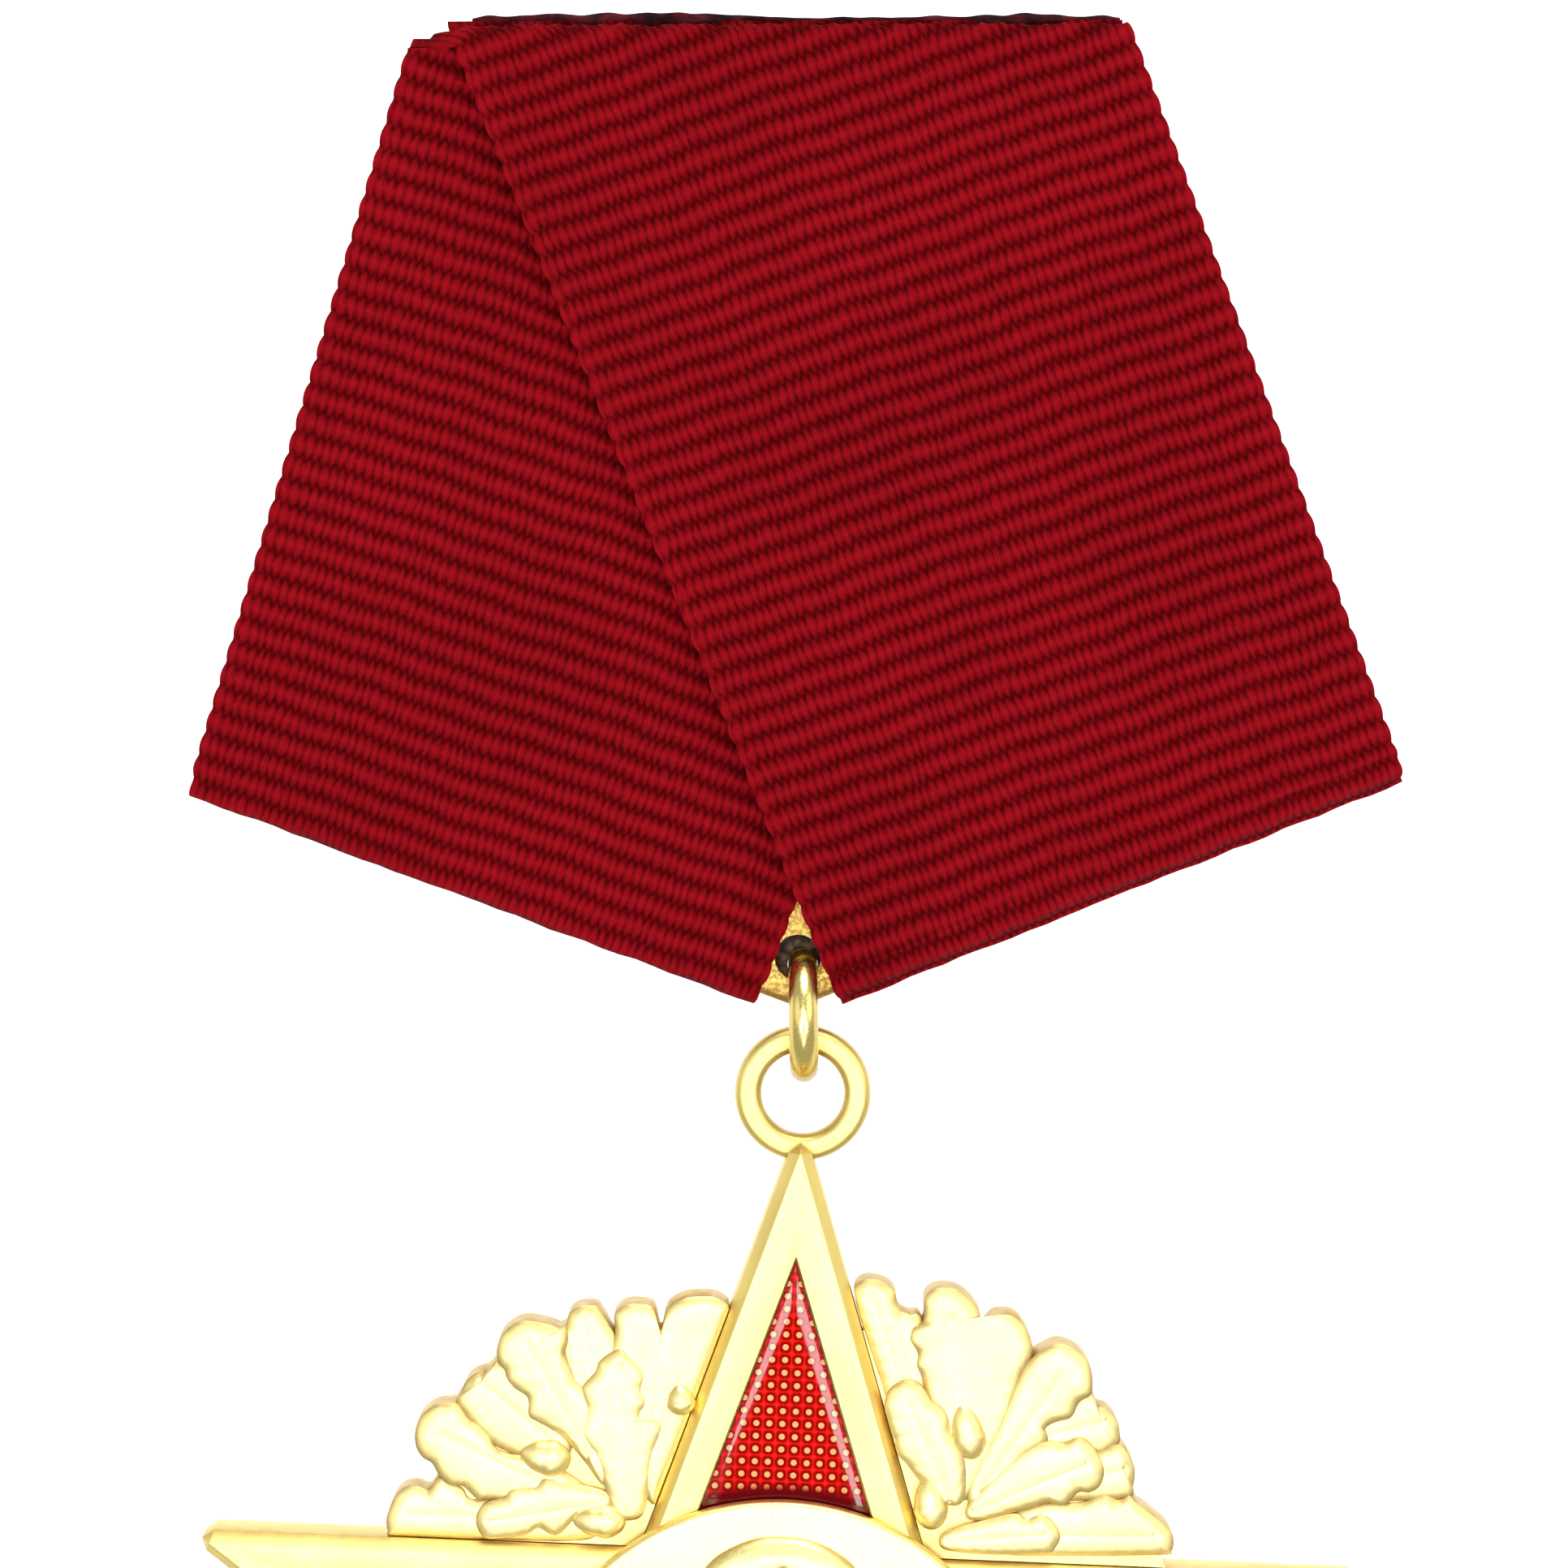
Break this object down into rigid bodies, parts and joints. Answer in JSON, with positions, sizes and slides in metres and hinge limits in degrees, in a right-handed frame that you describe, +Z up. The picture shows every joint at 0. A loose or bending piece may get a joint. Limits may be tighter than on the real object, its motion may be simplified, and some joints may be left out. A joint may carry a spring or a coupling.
{
  "type": "service medal",
  "caption": "Enamelled star medal with oak-leaf sprays and a round medallion, hung by an eyelet and jump ring from a folded ribbon on a plate with a pin behind.",
  "frame": {"origin": "middle of the pin needle's centreline, where the garment holds the medal", "axes": "+Z up along the hanging medal, -Y out of the medal's front, +Y towards the garment, +X to the right seen from the front"},
  "size_m": [0.0502, 0.0086, 0.0937],
  "materials": {
    "ribbon": "ribbed silk",
    "char": "heat-sealed fibre",
    "plate": "matte",
    "gold": "satin gilt",
    "steel": "polished",
    "enamel": "glossy translucent enamel"
  },
  "bodies": {
    "mount": {"mount_plate": "plate", "ribbon": "ribbon", "ribbon_end_bead": "char", "pin_bar": "gold", "pin_rivet_left": "gold", "pin_rivet_right": "gold", "hinge_bracket": "gold", "hinge_rivet": "steel", "catch_body": "gold"},
    "needle_body": {"needle": "steel"},
    "roller_body": {"catch_roller": "gold"},
    "ring_body": {"jump_ring": "gold"},
    "star": {"star_eyelet": "gold", "star_body": "gold", "enamel_top": "enamel", "enamel_left": "enamel", "enamel_right": "enamel", "enamel_lower_left": "enamel", "enamel_lower_right": "enamel", "leaves_upper_left": "gold", "leaves_upper_right": "gold", "leaves_lower_left": "gold", "leaves_lower_right": "gold", "leaves_bottom": "gold", "medallion_disc": "gold", "medallion_emblem": "gold", "medallion_rivet": "gold"}
  },
  "joints": [
    {"name": "ring_swing", "type": "hinge", "parent": "mount", "child": "ring_body", "pos_m": [0.0002, -0.004, -0.0301], "axis": [1, 0, 0], "range_deg": [-30, 30]},
    {"name": "star_swing", "type": "hinge", "parent": "ring_body", "child": "star", "pos_m": [0.0002, -0.004, -0.0332], "axis": [0, 1, 0], "range_deg": [-35, 35]},
    {"name": "needle_hinge", "type": "hinge", "parent": "mount", "child": "needle_body", "pos_m": [-0.015, 0, 0], "axis": [0, 0, 1], "range_deg": [0, 70]},
    {"name": "catch_turn", "type": "hinge", "parent": "mount", "child": "roller_body", "pos_m": [0.014, 0, 0], "axis": [1, 0, 0], "range_deg": [0, 110]}
  ]
}
